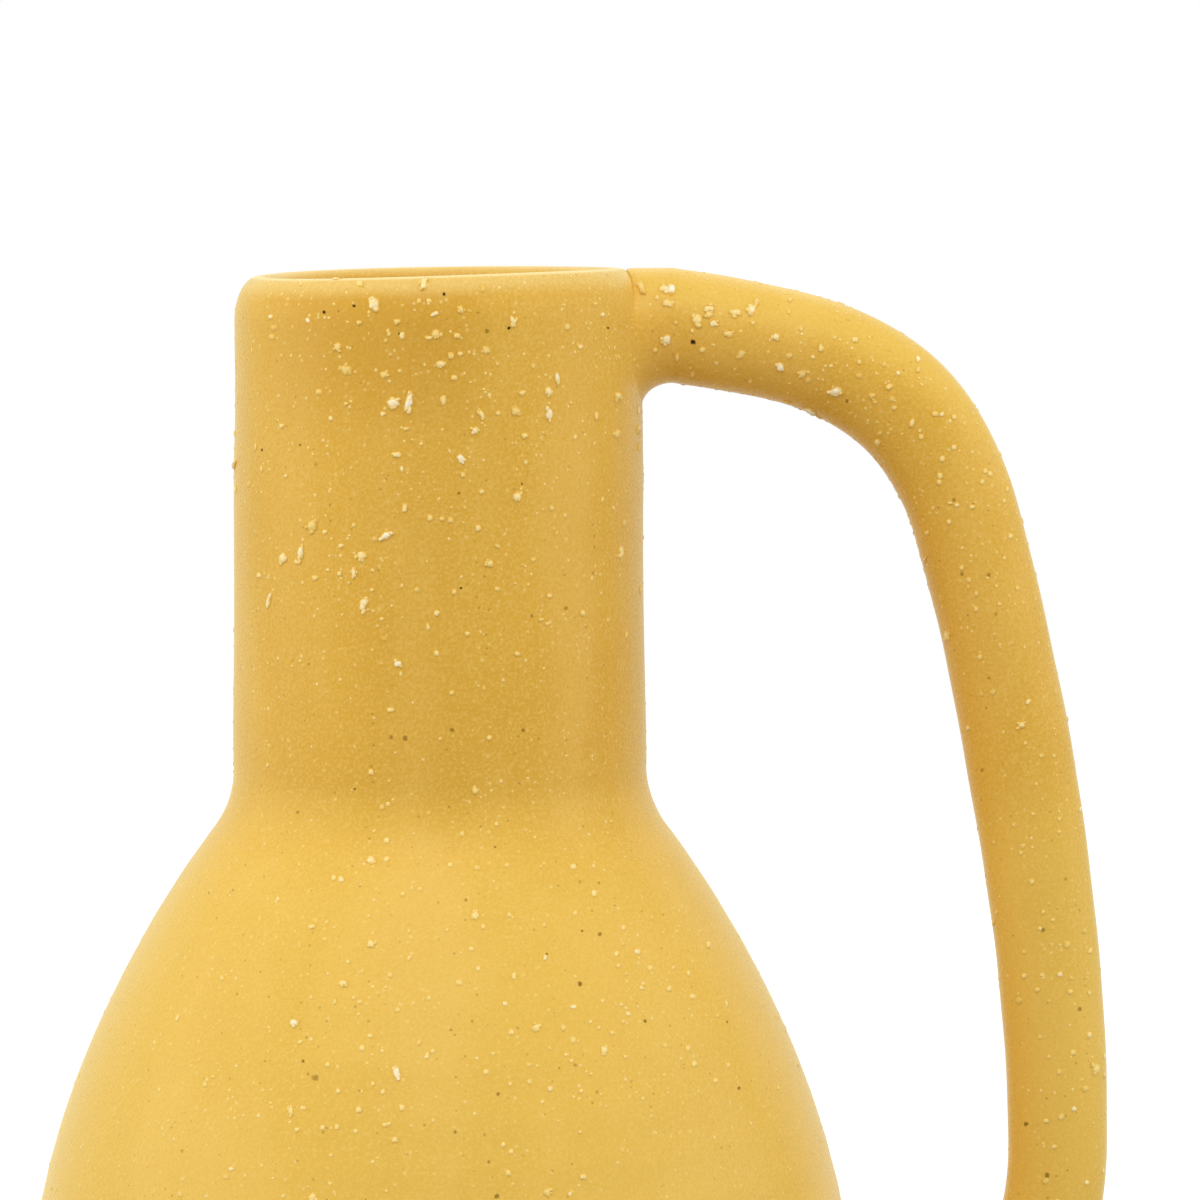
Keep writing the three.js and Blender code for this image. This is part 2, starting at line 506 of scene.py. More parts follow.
class Finish(Nodes):
    """A material, its main shader and the patterns that its looks are made of."""

    def __init__(self, name, roughness, specular=0.5, sheen=0):
        self.material = bpy.data.materials.new(name)
        self.material.use_nodes = True
        super().__init__(self.material.node_tree)
        self.shader = self.tree.nodes["Principled BSDF"]
        self.shader.inputs["Roughness"].default_value = roughness
        self.shader.inputs["Specular IOR Level"].default_value = specular
        self.shader.inputs["Sheen Weight"].default_value = sheen
        self.shader.inputs["Sheen Roughness"].default_value = sheen_roughness
        self.shader.inputs["Sheen Tint"].default_value = sheen_tint
        self.place = self.node("ShaderNodeTexCoord", output="Object")

    def stretched(self, scale):
        return self.node("ShaderNodeVectorMath", {"operation": "MULTIPLY"}, {0: self.place, 1: scale})

    def noise(self, scale, detail=2, place=None):
        return self.node("ShaderNodeTexNoise", None,
                         {"Vector": place or self.place, "Scale": scale, "Detail": detail})

    def spots(self, spacing, radius, share, edge=0.6):
        """Round spots of a radius in metres, on a share of the places that lie a spacing apart."""
        cells = {"Vector": self.place, "Scale": 1 / spacing}
        distance = self.node("ShaderNodeTexVoronoi", None, cells, "Distance")
        colour = self.node("ShaderNodeTexVoronoi", None, cells, "Color")
        chance = self.node("ShaderNodeSeparateColor", None, {"Color": colour}, "Red")
        size = self.node("ShaderNodeSeparateColor", None, {"Color": colour}, "Green")
        reach = (0.45 + 0.55 * size) * (radius / spacing)
        inside = self.between(distance - reach, -edge * radius / spacing, 0, 1, 0)
        return inside * (chance < share)

    def mixed(self, share, first, second):
        return self.node("ShaderNodeMix", {"data_type": "RGBA"}, {0: share, 6: first, 7: second}, 2)

    def coordinate(self, axis):
        return self.node("ShaderNodeSeparateXYZ", None, {"Vector": self.place}, axis)

    def stored(self, attribute):
        return self.node("ShaderNodeAttribute", {"attribute_name": attribute}, output="Fac")

    def bump(self, height, distance):
        return self.node("ShaderNodeBump", None, {"Height": height, "Distance": distance})

    def feed(self, **links):
        for socket, value in links.items():
            self.tree.links.new(value.socket, self.shader.inputs[socket.replace("_", " ").title()])
        return self.material


def colour(red, green, blue):
    """A display colour from 0 to 255, as the shader's linear one."""
    linear = [((value / 255 + 0.055) / 1.055) ** 2.4 if value > 10 else value / 255 / 12.92
              for value in (red, green, blue)]
    return (*linear, 1)


# Finishes

glaze_body = colour(225, 176, 69)
glaze_pale = colour(234, 188, 92)
glaze_deep = colour(219, 169, 62)
# Painted light: this pale colour paints the light on the belly's upturned face and on the handle's top.
painted_light_glaze = colour(243, 207, 103)
# Paints light: the lip's crest (partly thin glaze, partly a painted highlight), the band below it, and the
# inside near the lip.
thin_glaze_and_painted_light = colour(246, 224, 154)
# A darker colour for a patch under the lip.
glaze_darker_patch = colour(203, 149, 48)
grain_pale = colour(255, 226, 143)
grain_white = colour(255, 247, 221)
pit_brown = colour(120, 84, 30)
pit_olive = colour(150, 112, 40)
pit_black = colour(34, 24, 12)
clay_light = colour(214, 190, 152)
clay_dark = colour(186, 158, 118)
slip_light = colour(204, 178, 138)
slip_dark = colour(176, 148, 108)

glaze_looks = {"roughness": 0.28, "specular": 0.08, "sheen": 0.5}
iron_looks = {"roughness": 0.5, "specular": 0.08}
clay_looks = {"roughness": 0.85, "specular": 0.3}

# Noises: how many of their waves go into a metre, and their detail.
cloud_noise = (24, 3)
streak_noise = (90, 2)
fine_noise = (1900, 2)
lump_noise = (240, 2)
inner_noise = (160, 2)
patch_noise = (1500, 2)
clay_tone_noise = (90, 4)
clay_grit_noise = (900, 3)
streak_stretch = (1, 1, 0.25)

# Spots: their spacing and radius in metres, on what share of the places one is, and how soft its edge is.
fleck_spots = (0.0015, 0.00047, 0.9, 0.9)
speck_spots = (0.0022, 0.00052, 0.46, 0.65)
faint_pit_spots = (0.0017, 0.00036, 0.6, 0.75)
grain_pit_spots = (0.0006, 0.00016, 0.3, 0.9)
clay_grog_spots = (0.0025, 0.0005, 0.4)
clay_pit_spots = (0.003, 0.0004, 0.3)

# The height in metres that a relief of 1 stands for.
glaze_relief = 0.00014
smooth_relief = 0.00012
clay_relief = 0.0004

# Changes over the glaze, some of them painted light: where each starts and ends, and its strength at these
# two places.
# By height in metres, the belly is painted paler as painted light on its upturned face, and the handle has
# less grit low down.
belly_painted_light_fade = (0.15, 0.178, 0.4, 0)
low_handle_grit = (0.2, 0.235, 0.25, 1)

# By crest_depth in millimetres, the lip has a pale crest, partly thin glaze and partly a painted highlight,
# and a band of painted light where it turns up, with a darker patch under them that fades out down the neck.
# Inside, painted light pales the shaded wall a little way down from the lip.
crest_thin_and_highlight = (0.05, 0.45, 0.8, 0)
band_painted_light = (1.2, 3.9, 0.3, 0)
dark_patch_start = (1.2, 3.9, 0, 1)
dark_patch_fade = (12, 34, 1, 0)
inner_painted_light = (0, 2, 0.35, 0)

# The handle is painted paler on top, as painted light from above, and the grit there is hidden.
handle_top_painted_light = (4, 9.5, 0.4, 0)
handle_top_grit = (1, 6, 0.2, 1)

# The darker patch is darkest about this X, and fades with the distance to each side of it. In metres.
dark_patch_middle = -0.011
dark_patch_side_fade = (0.008, 0.025, 0.45, 0)


# Painted light: the belly is painted paler, for the light that its upturned face catches.
def belly_painted_light(finish, body):
    return finish.mixed(finish.between(finish.coordinate("Z"), *belly_painted_light_fade), body, painted_light_glaze)


def dark_patch_and_painted_light(finish, body, crest):
    """A darker patch under the lip, painted light on the lip's band, and a painted highlight on its crest,
    where the glaze is also thinnest.
    """
    side = abs(finish.coordinate("X") - dark_patch_middle)
    # A darker patch under the lip, about one X on each side of the vessel.
    dark_patch = finish.between(crest, *dark_patch_start) * finish.between(crest, *dark_patch_fade)
    body = finish.mixed(dark_patch * finish.between(side, *dark_patch_side_fade), body, glaze_darker_patch)
    # Painted light on the lip's band, and a painted highlight on its crest.
    body = finish.mixed(finish.between(crest, *band_painted_light), body, thin_glaze_and_painted_light)
    return finish.mixed(finish.between(crest, *crest_thin_and_highlight), body, thin_glaze_and_painted_light)


def glaze(name, gritty=True, on_neck=False, on_handle=False):
    finish = Finish(name, **glaze_looks)
    clouds = finish.noise(*cloud_noise)
    streaks = finish.noise(*streak_noise, finish.stretched(streak_stretch))
    fine = finish.noise(*fine_noise)
    body = finish.mixed(finish.between(clouds, 0.36, 0.66), glaze_deep, glaze_body)
    body = finish.mixed(finish.between(streaks, 0.4, 0.7) * 0.4, body, glaze_pale)
    body = finish.mixed(finish.between(fine, 0.3, 0.48, 0.6, 0), body, glaze_deep)
    body = finish.mixed(finish.between(fine, 0.47, 0.66) * 0.7, body, glaze_pale)
    # Painted light: paler on the belly.
    body = belly_painted_light(finish, body)
    crest = finish.stored("crest_depth")
    if not gritty:
        # Painted light: the inside is painted paler just below the lip, against its shade.
        body = finish.mixed(finish.between(crest, *inner_painted_light), body, thin_glaze_and_painted_light)
        return finish.feed(base_color=body, normal=finish.bump(finish.noise(*inner_noise), smooth_relief))
    flecks = finish.spots(*fleck_spots)
    specks = finish.spots(*speck_spots)
    faint_pits = finish.spots(*faint_pit_spots)
    if on_neck:
        body = dark_patch_and_painted_light(finish, body, crest)
    if on_handle:
        # Painted light: the top of the handle is painted paler, as if lit from above.
        body = finish.mixed(finish.between(crest, *handle_top_painted_light), body, painted_light_glaze)
        grit = finish.between(crest, *handle_top_grit)
        flecks = flecks * grit
        specks = specks * grit * finish.between(finish.coordinate("Z"), *low_handle_grit)
        faint_pits = faint_pits * grit
    body = finish.mixed(faint_pits * 0.6, body, pit_olive)
    body = finish.mixed(flecks * 0.6, body, grain_pale)
    body = finish.mixed(specks * 0.9, body, grain_pale)
    relief = finish.noise(*lump_noise) * 0.25 + specks * 0.85 + flecks * 0.25 - faint_pits * 0.2
    rough = finish.between(fine, 0.3, 0.7, glaze_looks["roughness"] - 0.04, glaze_looks["roughness"] + 0.06)
    return finish.feed(base_color=body, roughness=rough, normal=finish.bump(relief, glaze_relief))


def grain_glaze():
    """Grog under a thin skin of glaze, paler towards its crown. The palest grains have brown pits."""
    finish = Finish("grog_grains", **glaze_looks)
    pale = finish.stored("pale")
    patch = finish.noise(*patch_noise)
    crown = finish.between(finish.stored("rise") + 0.5 * patch, 0.35, 1.3)
    # The glaze round each grain takes the belly's painted light as well.
    body = finish.mixed(crown * finish.between(pale, 0, 0.9), belly_painted_light(finish, glaze_body), grain_pale)
    body = finish.mixed(crown * finish.between(pale + 0.7 * patch, 1.12, 1.55), body, grain_white)
    pits = finish.spots(*grain_pit_spots) * (pale > 0.98)
    body = finish.mixed(pits * 0.8, body, pit_brown)
    return finish.feed(base_color=body, normal=finish.bump(patch, smooth_relief))


def iron_glaze():
    """Specks of iron that have bled into the glaze, olive at their edges, and the darkest black inside."""
    finish = Finish("iron_specks", **iron_looks)
    darkness = finish.stored("pale")
    bled = finish.stored("rise") + 0.4 * finish.noise(*patch_noise)
    olive = finish.between(bled, 0.1, 0.75) * (0.35 + 0.65 * darkness)
    # The glaze round each speck takes the belly's painted light as well.
    body = finish.mixed(olive, belly_painted_light(finish, glaze_body), pit_olive)
    body = finish.mixed(finish.between(bled, 0.3, 1.1) * darkness, body, pit_brown)
    body = finish.mixed(finish.between(bled, 0.6, 1.2) * finish.between(darkness, 0.6, 1), body, pit_black)
    return finish.feed(base_color=body)


def clay(name, light, dark):
    finish = Finish(name, **clay_looks)
    tone = finish.noise(*clay_tone_noise)
    grit = finish.noise(*clay_grit_noise)
    body = finish.mixed(finish.between(tone, 0.3, 0.7), dark, light)
    body = finish.mixed(finish.spots(*clay_grog_spots) * 0.8, body, grain_white)
    body = finish.mixed(finish.spots(*clay_pit_spots), body, pit_brown)
    return finish.feed(base_color=body, normal=finish.bump(grit + tone, clay_relief))


outer_glaze = glaze("mustard_glaze")
neck_glaze = glaze("neck_glaze", on_neck=True)
handle_glaze = glaze("handle_glaze", on_handle=True)
inner_glaze = glaze("inner_glaze", gritty=False)
grain_finish = grain_glaze()
iron_finish = iron_glaze()
bare_clay = clay("bare_stoneware", clay_light, clay_dark)
slip_clay = clay("joining_slip", slip_light, slip_dark)


# The vessel. Each piece has an outside, an inside, and flat faces at its foot and top that meet slip.

flat_margin = 0.1
flat_normal = 0.999
facing_up = 0.5


def inside_or_out(foot, top):
    """Finish 0 on the outside, 1 on the inside and 2 on the flat faces that meet slip."""
    def choose(centre, normal):
        at_end = centre.z < foot + flat_margin or centre.z > top - flat_margin
        if at_end and abs(normal.z) > flat_normal:
            return 2
        outward = centre.x * normal.x + centre.y * normal.y
        return 0 if outward > 0 else 1
    return choose


belly = vessel_piece(
    "belly_wall",
    np.vstack([belly_outline(0, 1), belly_outline(wall, belly_inside_share)[::-1]]),
    "belly",
    [outer_glaze, inner_glaze, slip_clay],
    inside_or_out(belly_foot, shoulder_height),
)

neck_section = joined(
    neck_outline(0, lip_taper_height, 1),
    lip_outline(),
    neck_outline(wall, lip_inner_rounding, neck_inside_share)[::-1],
)
neck = vessel_piece(
    "neck_collar",
    neck_section,
    "neck",
    [neck_glaze, inner_glaze, slip_clay],
    inside_or_out(neck_foot, math.inf),
)


def slip_ring(name, node, outer, inner, foot, top):
    outline = np.vstack([line((outer, foot), (outer, top), slip_steps),
                         line((inner, top), (inner, foot), slip_steps)])
    vessel_piece(name, outline, node, [outer_glaze, inner_glaze, slip_clay],
                 inside_or_out(foot, top))


slip_ring("shoulder_joint", "shoulder_slip", neck_foot_radius, neck_foot_radius - wall,
          shoulder_height, neck_foot)
slip_ring("base_joint", "base_slip", base_radius, base_radius - wall / math.cos(foot_lean),
          base_thickness, belly_foot)


def base_finish(centre, normal):
    """The glaze stops a little above the table, and covers the floor inside."""
    if normal.z > facing_up:
        return 1
    return 0 if centre.z > base_edge_rounding and normal.z > -facing_up else 2


base_edge = arc((base_radius - base_edge_rounding, base_edge_rounding), base_edge_rounding,
                -math.pi / 2, 0, base_edge_steps)
base_section = joined(
    line((0, 0), base_edge[0], base_under_steps),
    base_edge,
    line(base_edge[-1], (base_radius, base_thickness), base_side_steps),
    line((base_radius, base_thickness), (0, base_thickness), base_floor_steps),
)
vessel_piece("base_disc", base_section, "base_slab",
             [outer_glaze, inner_glaze, bare_clay], base_finish)


# The handle: a coil rolled by hand, and the wads that blend its ends into the wall

def handle_route():
    """The centre of the coil as points (x, z)."""
    upper = np.array([upper_root_x, handle_top - handle_top_radius])
    elbow = np.array([handle_reach - elbow_inset, rim_height - elbow_drop])
    heel = np.array([handle_reach, lower_root_height + heel_rise])
    lower = np.array([lower_root_x, lower_root_height])
    set_off = np.array([math.cos(upper_root_lean), -math.sin(upper_root_lean)])
    drop = np.array([math.sin(elbow_lean), -math.cos(elbow_lean)])
    down = np.array([0, -1])
    away = np.array([1, 0])
    stretches = (
        (upper, upper + upper_root_pull * set_off, elbow - elbow_upper_pull * drop, elbow),
        (elbow, elbow + elbow_lower_pull * drop, heel - heel_upper_pull * down, heel),
        (heel, heel + heel_lower_pull * down, lower + lower_root_pull * away, lower),
    )
    return joined(*(bezier(*stretch, steps) for stretch, steps in zip(stretches, route_steps)))


coil_route = handle_route()
coil_along = length_along(coil_route)
coil_length = coil_along[-1]

# How far the hand-rolled coil swells or thins, at distances along it from the upper root to the lower.
coil_swell_places = np.array((0, 18, 43, 66, 85, 115, 150, 190, 230, coil_length))
coil_swell_sizes = np.array((0, -0.25, 0.1, -0.2, -0.1, 0.3, 0.08, -0.1, 0.1, 0))

# Finer waves round and along the coil, as in the wall's swells, which fade out at its ends.
coil_ripples = ((0.07, 2, 0.05, 0), (0.05, 3, -0.08, 1), (0.04, 1, 0.31, 0))
ripple_fade = 10

# The coil leaves the wall level, and turns into its own lean over this distance at each end. The lean
# is felt out over this step to each side.
level_end = 14
lean_step = 0.5

# A point on the side of a level stretch of the coil counts as this many millimetres below its crest.
crest_reach = 10


def coil_radius(along):
    place = along / coil_length
    slimming = handle_top_radius + (handle_slim_radius - handle_top_radius) * smooth_step(
        0, handle_slim_place, place)
    swelling = handle_slim_radius + (handle_foot_radius - handle_slim_radius) * smooth_step(
        handle_slim_place, 1, place)
    return np.where(place < handle_slim_place, slimming, swelling)


def coil_swell(along):
    """A smooth run through the swells, level at each of them."""
    places = coil_swell_places
    sizes = coil_swell_sizes
    index = np.clip(np.searchsorted(places, along, side="right") - 1, 0, len(places) - 2)
    share = smooth_step(0, 1, (along - places[index]) / (places[index + 1] - places[index]))
    return sizes[index] + (sizes[index + 1] - sizes[index]) * share


def on_route(along):
    """The x and z of points on the middle of the coil."""
    return [np.interp(along, coil_along, coil_route[:, axis]) for axis in (0, 1)]


def coil_lean(along):
    """How far the coil's run is turned up from level. It is half a turn where it runs back to the wall."""
    ahead = on_route(np.minimum(along + lean_step, coil_length))
    behind = on_route(np.maximum(along - lean_step, 0))
    lean = np.arctan2(ahead[1] - behind[1], ahead[0] - behind[0]) * smooth_step(0, level_end, along)
    unwound = np.where(lean > 0, lean - 2 * math.pi, lean)
    returning = -math.pi + (unwound + math.pi) * smooth_step(0, level_end, coil_length - along)
    return np.where(along > coil_length / 2, returning, lean)


def coil_points(along, turn):
    """Points on the coil's skin. The turn is 0 on the side away from the vessel's gap."""
    x, z = on_route(along)
    lean = coil_lean(along)
    ends = smooth_step(0, ripple_fade, along) * smooth_step(0, ripple_fade, coil_length - along)
    radius = coil_radius(along) + coil_swell(along) + swells(coil_ripples, turn, along) * ends
    out = radius * np.cos(turn)
    return np.stack([x - out * np.sin(lean), radius * np.sin(turn), z + out * np.cos(lean)], axis=-1)


def handle_piece(name, node, rings):
    piece = swept(name, rings)
    store_depth(piece, [crest_reach * (1 - point.normal.z) for point in piece.data.vertices])
    return dressed(piece, node, [handle_glaze])


ring_places = np.linspace(0, coil_length, coil_rings)[:, None]
ring_turns = np.arange(coil_sides)[None, :] * 2 * math.pi / coil_sides
handle = handle_piece("handle_coil", "handle", coil_points(*np.broadcast_arrays(ring_places, ring_turns)))

outer_outline = joined(
    np.vstack([belly_outline(0, 1), neck_outline(0, lip_taper_height, 1)]),
    outer_lip(),
)

# A wad sinks into the wall by a hair at its rim, and its last ring is buried in the wall, drawn in a little.
wad_sink = 0.12
buried_depth = 2
buried_share = 0.9
wall_face_rounds = 6


def wall_face(y, z):
    """How far out along X the vessel's skin is, over points of the YZ plane."""
    drawn_y = y.copy()
    drawn_z = z.copy()
    for _ in range(wall_face_rounds):
        radius = np.interp(drawn_z, outer_outline[:, 1], outer_outline[:, 0])
        x = np.sqrt(np.maximum(radius ** 2 - drawn_y ** 2, 0))
        moved = hand_shaped(np.column_stack([x, drawn_y, drawn_z]))
        drawn_y += y - moved[:, 1]
        drawn_z += z - moved[:, 2]
    return moved[:, 0]


def wad(name, node, root, radius, top_flare, side_flare, under_flare):
    """Clay smoothed from the coil's end to the wall, by its own amount above, beside and below."""
    angle = np.arange(coil_sides) * 2 * math.pi / coil_sides
    mean = (top_flare + under_flare + 2 * side_flare) / 4
    flare = (mean + (top_flare - under_flare) / 2 * np.cos(angle)
             + ((top_flare + under_flare) / 4 - side_flare / 2) * np.cos(2 * angle))
    rings = []
    for turn in np.linspace(0, math.pi / 2, wad_steps + 1):
        bend = 1 - math.cos(turn)
        reach = radius + np.maximum(flare, 0) * bend + np.minimum(flare, 0) * bend ** 3
        y = reach * np.sin(angle)
        z = root[1] + reach * np.cos(angle)
        face = wall_face(y, z) - wad_sink * (turn / (math.pi / 2)) ** 2
        x = face + (root[0] - face) * (1 - math.sin(turn))
        rings.append(np.column_stack([x, y, z]))
    buried = rings[-1].copy()
    buried[:, 0] -= buried_depth
    buried[:, 1] *= buried_share
    buried[:, 2] = root[1] + (buried[:, 2] - root[1]) * buried_share
    rings.append(buried)
    return handle_piece(name, node, np.array(rings))


upper_blend = wad("upper_blend", "upper_handle_wad", coil_route[0], handle_top_radius, -1.0, 1.0, 4.3)
wad("lower_blend", "lower_handle_wad", coil_route[-1], handle_foot_radius, 2.6, 2.2, 3.0)


# Grog: grains in the clay that push up through the glaze, and specks of iron

grain_sides = 8
grain_shapes = 7
grain_levels = ((1, -0.2), (0.84, 0.24), (0.56, 0.74), (0.24, 1))
grain_unevenness = 0.15
ring_unevenness = 0.06
height_unevenness = 0.09

# Each set of grains has its own seed, so that a change to one leaves the others alone.
model_seed = 11
seen_seed = 7
vessel_seed = 3
handle_seed = 5
iron_seed = 9


def grain_models(random):
    """A few lumps of unit size, each a stack of four uneven rings, as their points and faces."""
    models = []
    angle = np.arange(grain_sides) * 2 * math.pi / grain_sides
    for _ in range(grain_shapes):
        uneven = 1 + random.normal(0, grain_unevenness, grain_sides)
        rings = []
        for radius, height in grain_levels:
            reach = radius * uneven * (1 + random.normal(0, ring_unevenness, grain_sides))
            lift = height + random.normal(0, height_unevenness, grain_sides) * (height > 0)
            rings.append(np.column_stack([reach * np.cos(angle), reach * np.sin(angle), lift]))
        piece = swept("grain", np.array(rings))
        faces = [tuple(face.vertices) for face in piece.data.polygons]
        models.append((points_of(piece), faces))
        bpy.data.objects.remove(piece)
    return models


models = grain_models(np.random.default_rng(model_seed))


def lumps(name, place, first, second, third, pale, random, finish=grain_finish):
    """One mesh of closed lumps. Each has its place and its half length, half width and height as vectors."""
    vertices, faces, rise, paleness = [], [], [], []
    total = 0
    for index, kind in enumerate(random.integers(0, len(models), len(place))):
        points, model_faces = models[kind]
        vertices.append(place[index] + points[:, :1] * first[index] + points[:, 1:2] * second[index]
                        + points[:, 2:] * third[index])
        faces.extend([tuple(corner + total for corner in face) for face in model_faces])
        rise.append(np.clip(points[:, 2], 0, 1))
        paleness.append(np.full(len(points), pale[index]))
        total += len(points)
    mesh = bpy.data.meshes.new(name)
    mesh.from_pydata((np.vstack(vertices) * MM).tolist(), [], faces)
    for attribute, values in (("rise", rise), ("pale", paleness)):
        mesh.attributes.new(attribute, "FLOAT", "POINT").data.foreach_set("value", np.concatenate(values))
    mesh.materials.append(finish)
    piece = bpy.data.objects.new(name, mesh)
    bpy.context.scene.collection.objects.link(piece)
    smooth(piece, sharpest_on_grain)
    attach(piece, "root")


# The grains that the photograph shows one by one. Each row has a pixel's x and y, then sizes in pixels.

picture_width = 1200
picture_focal = lens_length / sensor_width * picture_width
eye = np.array([camera_side, -camera_distance, camera_height])
view_ahead = np.array([0, math.cos(camera_pitch), -math.sin(camera_pitch)])
view_right = np.array([1, 0, 0])
view_up = np.array([0, math.sin(camera_pitch), math.cos(camera_pitch)])

# Pixel x, pixel y, width
round_grains = (
    (360, 284, 6), (374, 304, 11), (429, 301, 5), (419, 301, 5), (359, 323, 5), (397, 322, 6),
    (388, 331, 4), (389, 334, 4), (386, 341, 4), (457, 336, 6), (451, 356, 6), (460, 354, 5),
    (400, 371, 4), (454, 378, 6), (383, 414, 5), (498, 413, 5), (524, 436, 6), (421, 444, 4),
    (346, 404, 4), (301, 284, 4), (271, 317, 5), (338, 347, 7), (282, 426, 5), (571, 277, 3),
    (580, 347, 5), (617, 396, 8), (575, 437, 4), (595, 304, 4), (430, 518, 6),
    (442, 519, 5), (354, 525, 4), (325, 532, 5), (286, 476, 4), (341, 546, 5), (340, 574, 5),
    (328, 570, 4), (417, 590, 5), (402, 586, 4), (398, 664, 7), (436, 653, 6), (382, 619, 4),
    (372, 590, 4), (300, 661, 3), (292, 666, 3), (463, 475, 5), (450, 520, 6), (465, 508, 3),
    (490, 564, 7), (454, 592, 5), (582, 613, 6), (540, 620, 4), (547, 624, 4), (549, 596, 5),
    (467, 634, 5), (517, 654, 5), (613, 508, 4), (608, 620, 4), (452, 693, 5), (489, 738, 5),
    (440, 739, 4), (475, 791, 6), (371, 772, 6), (388, 804, 5), (387, 841, 6), (371, 860, 7),
    (387, 859, 6), (496, 824, 4), (450, 865, 5), (507, 865, 5), (278, 899, 4), (334, 878, 5),
    (341, 879, 6), (371, 944, 7), (362, 971, 4), (348, 962, 4), (222, 978, 5), (359, 1002, 4),
    (354, 998, 4), (311, 997, 4), (398, 1010, 5), (573, 867, 6), (593, 866, 4), (403, 894, 5),
    (483, 927, 5), (509, 915, 5), (575, 913, 5), (409, 931, 4), (447, 930, 4), (544, 925, 4),
    (623, 928, 5), (616, 954, 5), (637, 952, 6), (623, 944, 4), (626, 974, 4), (459, 983, 6),
    (505, 1004, 5), (536, 1028, 8), (511, 1032, 6), (590, 1022, 4), (599, 1028, 4), (612, 1033, 5),
    (628, 1014, 5), (621, 1005, 4), (419, 1043, 5), (433, 1051, 5), (549, 1048, 4), (604, 1050, 7),
    (571, 1061, 4), (566, 1055, 4), (510, 1084, 4), (550, 1089, 5), (581, 1091, 5), (591, 1074, 4),
    (625, 1057, 4), (493, 1054, 4), (708, 945, 6), (669, 989, 6), (692, 997, 6), (717, 1016, 4),
    (694, 1064, 6), (715, 1081, 5), (664, 1075, 4), (778, 1088, 4), (641, 988, 5), (673, 968, 4),
    (294, 1023, 7), (343, 984, 7), (390, 975, 5), (362, 1048, 6), (370, 1036, 5), (328, 1065, 5),
    (338, 1091, 5), (383, 1092, 5), (373, 1084, 4), (205, 1085, 5), (213, 1077, 4), (323, 1128, 5),
    (337, 1127, 5), (385, 1125, 5), (389, 1124, 4), (297, 1130, 5), (313, 1197, 8), (331, 1155, 4),
    (402, 1108, 6), (547, 1192, 7), (583, 1177, 6), (508, 1173, 6), (511, 1152, 5), (503, 1145, 5),
    (542, 1102, 4), (580, 1132, 4), (570, 1194, 4), (671, 289, 9), (663, 288, 7), (655, 350, 5),
    (667, 340, 9), (697, 320, 10), (694, 316, 5), (709, 315, 7), (757, 302, 6), (676, 323, 4),
    (657, 298, 5), (692, 331, 4), (750, 381, 4), (753, 323, 5), (789, 312, 4), (855, 340, 6),
    (859, 362, 5), (835, 338, 4), (872, 396, 6), (894, 408, 5), (875, 402, 4), (935, 414, 6),
    (942, 414, 5), (954, 417, 5), (880, 433, 5), (921, 437, 5), (920, 431, 4), (942, 459, 6),
    (831, 366, 4), (808, 372, 4), (985, 471, 5), (940, 476, 6), (939, 482, 6), (1004, 501, 4),
    (982, 482, 5), (962, 548, 4), (962, 568, 5), (1004, 558, 4), (1010, 536, 5), (1017, 588, 4),
    (976, 594, 5), (999, 604, 4), (1025, 743, 4), (1041, 756, 4), (1036, 784, 4), (1033, 814, 4),
    (1014, 825, 4), (1059, 819, 4), (1059, 832, 4), (1021, 853, 4), (1032, 882, 5), (1043, 912, 4),
    (1053, 920, 4), (1024, 952, 4), (1040, 929, 4), (1024, 976, 5), (1042, 975, 4), (1071, 978, 4),
    (1037, 990, 5), (1070, 992, 5), (1089, 993, 4), (1089, 1035, 5), (1040, 1037, 4), (1073, 1053, 6),
    (1049, 1057, 4), (1046, 1121, 5), (1054, 1147, 5), (1087, 1183, 5), (1105, 1112, 4),
)

